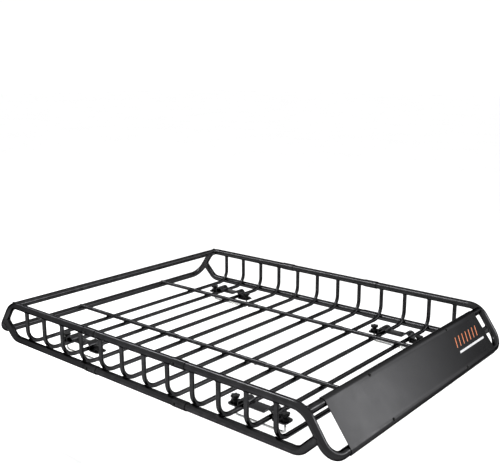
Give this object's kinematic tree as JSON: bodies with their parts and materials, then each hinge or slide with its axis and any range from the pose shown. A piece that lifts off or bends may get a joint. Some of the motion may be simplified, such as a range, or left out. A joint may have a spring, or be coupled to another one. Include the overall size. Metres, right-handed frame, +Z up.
{
  "type": "roof cargo basket",
  "caption": "Welded tube roof tray in slip-jointed sections, with side rails, sloped ends, a front air deflector and sliding U-bolt crossbar clamps with star knobs.",
  "frame": {"origin": "centre of the overall box, on the plane that the U-bolt bottoms rest on", "axes": "+X towards the front (the deflector end), +Y to the left side, +Z up"},
  "size_m": [1.2939, 0.945, 0.1609],
  "materials": {
    "powder_coat": "satin black powder coat, fine texture",
    "deflector_coat": "smooth satin black powder coat on flat sheet",
    "zinc": "bright zinc plate",
    "knob_plastic": "matte moulded black plastic",
    "screw": "black oxide button heads"
  },
  "bodies": {
    "frame": {"rear_loop": "powder_coat", "front_loop": "powder_coat", "rear_top_bar": "powder_coat", "front_top_bar": "powder_coat", "deflector": "deflector_coat", "joint_screws": "screw", "deflector_screws": "screw", "middle_top_rail_right": "powder_coat", "rear_lower_rail_right": "powder_coat", "rear_floor_tube_right": "powder_coat", "middle_lower_rail_right": "powder_coat", "middle_floor_tube_right": "powder_coat", "front_lower_rail_right": "powder_coat", "front_floor_tube_right": "powder_coat", "middle_top_rail_left": "powder_coat", "rear_lower_rail_left": "powder_coat", "rear_floor_tube_left": "powder_coat", "middle_lower_rail_left": "powder_coat", "middle_floor_tube_left": "powder_coat", "front_lower_rail_left": "powder_coat", "front_floor_tube_left": "powder_coat", "rib_01": "powder_coat", "rib_02": "powder_coat", "rib_03": "powder_coat", "rib_04": "powder_coat", "rib_05": "powder_coat", "rib_06": "powder_coat", "rib_07": "powder_coat", "rib_08": "powder_coat", "rib_09": "powder_coat", "rib_10": "powder_coat", "rib_11": "powder_coat", "rib_12": "powder_coat"},
    "clamp_rear_right": {"clamp_bracket_rear_right": "powder_coat"},
    "u_bolt_rear_right": {"u_bolt_rear_right": "zinc"},
    "knob_a_rear_right": {"knob_a_rear_right": "knob_plastic"},
    "knob_b_rear_right": {"knob_b_rear_right": "knob_plastic"},
    "clamp_rear_left": {"clamp_bracket_rear_left": "powder_coat"},
    "u_bolt_rear_left": {"u_bolt_rear_left": "zinc"},
    "knob_a_rear_left": {"knob_a_rear_left": "knob_plastic"},
    "knob_b_rear_left": {"knob_b_rear_left": "knob_plastic"},
    "clamp_front_right": {"clamp_bracket_front_right": "powder_coat"},
    "u_bolt_front_right": {"u_bolt_front_right": "zinc"},
    "knob_a_front_right": {"knob_a_front_right": "knob_plastic"},
    "knob_b_front_right": {"knob_b_front_right": "knob_plastic"},
    "clamp_front_left": {"clamp_bracket_front_left": "powder_coat"},
    "u_bolt_front_left": {"u_bolt_front_left": "zinc"},
    "knob_a_front_left": {"knob_a_front_left": "knob_plastic"},
    "knob_b_front_left": {"knob_b_front_left": "knob_plastic"}
  },
  "joints": [
    {"name": "clamp_slide_rear_right", "type": "slide", "parent": "frame", "child": "clamp_rear_right", "axis": [0, 1, 0], "range_m": [-0.042, 0.174]},
    {"name": "knob_a_turn_rear_right", "type": "hinge", "parent": "clamp_rear_right", "child": "knob_a_rear_right", "pos_m": [-0.4346, -0.352, 0.036], "axis": [0, 0, 1], "range_deg": [0, 4680]},
    {"name": "knob_b_turn_rear_right", "type": "hinge", "parent": "clamp_rear_right", "child": "knob_b_rear_right", "pos_m": [-0.2746, -0.352, 0.036], "axis": [0, 0, 1], "range_deg": [0, 4680]},
    {"name": "u_bolt_drop_rear_right", "type": "slide", "parent": "clamp_rear_right", "child": "u_bolt_rear_right", "axis": [0, 0, 1], "range_m": [-0.01299, 0]},
    {"name": "clamp_slide_rear_left", "type": "slide", "parent": "frame", "child": "clamp_rear_left", "axis": [0, 1, 0], "range_m": [-0.06, 0.06]},
    {"name": "knob_a_turn_rear_left", "type": "hinge", "parent": "clamp_rear_left", "child": "knob_a_rear_left", "pos_m": [-0.4346, 0.334, 0.036], "axis": [0, 0, 1], "range_deg": [0, 4680]},
    {"name": "knob_b_turn_rear_left", "type": "hinge", "parent": "clamp_rear_left", "child": "knob_b_rear_left", "pos_m": [-0.2746, 0.334, 0.036], "axis": [0, 0, 1], "range_deg": [0, 4680]},
    {"name": "u_bolt_drop_rear_left", "type": "slide", "parent": "clamp_rear_left", "child": "u_bolt_rear_left", "axis": [0, 0, 1], "range_m": [-0.01299, 0]},
    {"name": "clamp_slide_front_right", "type": "slide", "parent": "frame", "child": "clamp_front_right", "axis": [0, 1, 0], "range_m": [-0.042, 0.174]},
    {"name": "knob_a_turn_front_right", "type": "hinge", "parent": "clamp_front_right", "child": "knob_a_front_right", "pos_m": [0.2694, -0.352, 0.036], "axis": [0, 0, 1], "range_deg": [0, 4680]},
    {"name": "knob_b_turn_front_right", "type": "hinge", "parent": "clamp_front_right", "child": "knob_b_front_right", "pos_m": [0.4294, -0.352, 0.036], "axis": [0, 0, 1], "range_deg": [0, 4680]},
    {"name": "u_bolt_drop_front_right", "type": "slide", "parent": "clamp_front_right", "child": "u_bolt_front_right", "axis": [0, 0, 1], "range_m": [-0.01299, 0]},
    {"name": "clamp_slide_front_left", "type": "slide", "parent": "frame", "child": "clamp_front_left", "axis": [0, 1, 0], "range_m": [-0.06, 0.06]},
    {"name": "knob_a_turn_front_left", "type": "hinge", "parent": "clamp_front_left", "child": "knob_a_front_left", "pos_m": [0.2694, 0.334, 0.036], "axis": [0, 0, 1], "range_deg": [0, 4680]},
    {"name": "knob_b_turn_front_left", "type": "hinge", "parent": "clamp_front_left", "child": "knob_b_front_left", "pos_m": [0.4294, 0.334, 0.036], "axis": [0, 0, 1], "range_deg": [0, 4680]},
    {"name": "u_bolt_drop_front_left", "type": "slide", "parent": "clamp_front_left", "child": "u_bolt_front_left", "axis": [0, 0, 1], "range_m": [-0.01299, 0]}
  ],
  "couplings": [
    {"joint": "knob_a_turn_rear_right", "follows": "u_bolt_drop_rear_right", "rad_per_m": -6283.2},
    {"joint": "knob_b_turn_rear_right", "follows": "u_bolt_drop_rear_right", "rad_per_m": -6283.2},
    {"joint": "knob_a_turn_rear_left", "follows": "u_bolt_drop_rear_left", "rad_per_m": -6283.2},
    {"joint": "knob_b_turn_rear_left", "follows": "u_bolt_drop_rear_left", "rad_per_m": -6283.2},
    {"joint": "knob_a_turn_front_right", "follows": "u_bolt_drop_front_right", "rad_per_m": -6283.2},
    {"joint": "knob_b_turn_front_right", "follows": "u_bolt_drop_front_right", "rad_per_m": -6283.2},
    {"joint": "knob_a_turn_front_left", "follows": "u_bolt_drop_front_left", "rad_per_m": -6283.2},
    {"joint": "knob_b_turn_front_left", "follows": "u_bolt_drop_front_left", "rad_per_m": -6283.2}
  ]
}
